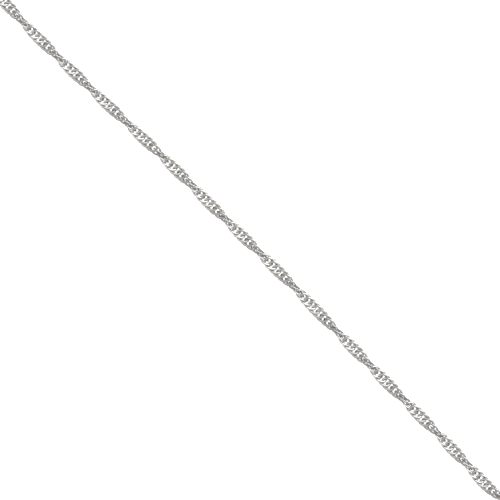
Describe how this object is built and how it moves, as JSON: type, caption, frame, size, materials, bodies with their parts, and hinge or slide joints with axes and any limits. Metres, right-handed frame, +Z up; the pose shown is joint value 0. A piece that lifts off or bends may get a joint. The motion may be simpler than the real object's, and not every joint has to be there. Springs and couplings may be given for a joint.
{
  "type": "singapore chain necklace",
  "caption": "Fine twisted curb chain necklace that lies as a closed loop, fastened with jump rings and a spring ring clasp.",
  "frame": {"origin": "centre of the necklace's bounding box, on the surface that it lies on", "axes": "+X along the straight front side, +Y from the front side to the clasp, +Z up from the surface"},
  "size_m": [0.1882, 0.0792, 0.0044],
  "materials": {
    "silver_chain": "polished silver, duller deep between the links",
    "silver_findings": "polished silver"
  },
  "bodies": {
    "root": {"chain": "silver_chain", "jump_ring_left": "silver_findings", "jump_ring_right": "silver_findings", "clasp": "silver_findings"}
  },
  "joints": []
}
